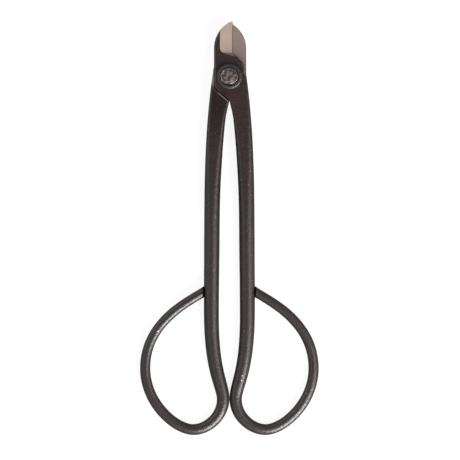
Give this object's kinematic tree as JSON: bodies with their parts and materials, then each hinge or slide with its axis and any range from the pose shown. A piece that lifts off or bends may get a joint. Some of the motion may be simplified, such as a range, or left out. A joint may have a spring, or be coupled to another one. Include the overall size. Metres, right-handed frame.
{
  "type": "floral snips",
  "caption": "Long-armed bypass snips of black forged steel: short bevelled blades, riveted lap joint with cup washers, round tapering arms and large open finger loops.",
  "frame": {"origin": "on the pivot axis, at the flat back head of the rivet", "axes": "+Y from the pivot towards the blade tips, +Z along the pivot from the back face to the front face, +X towards the front half's finger loop"},
  "size_m": [0.0892, 0.2065, 0.0121],
  "materials": {
    "black_forging": "satin black oxide over forged steel, lap faces and bevels ground bare",
    "rivet_steel": "hammer-peened bare steel",
    "black_washer": "satin black oxide"
  },
  "bodies": {
    "back": {"back_half": "black_forging", "pivot_rivet": "rivet_steel", "back_washer": "black_washer", "front_washer": "black_washer"},
    "front": {"front_half": "black_forging"}
  },
  "joints": [
    {"name": "pivot", "type": "hinge", "parent": "back", "child": "front", "pos_m": [0, 0, 0.00603], "axis": [0, 0, 1], "range_deg": [0, 50]}
  ]
}
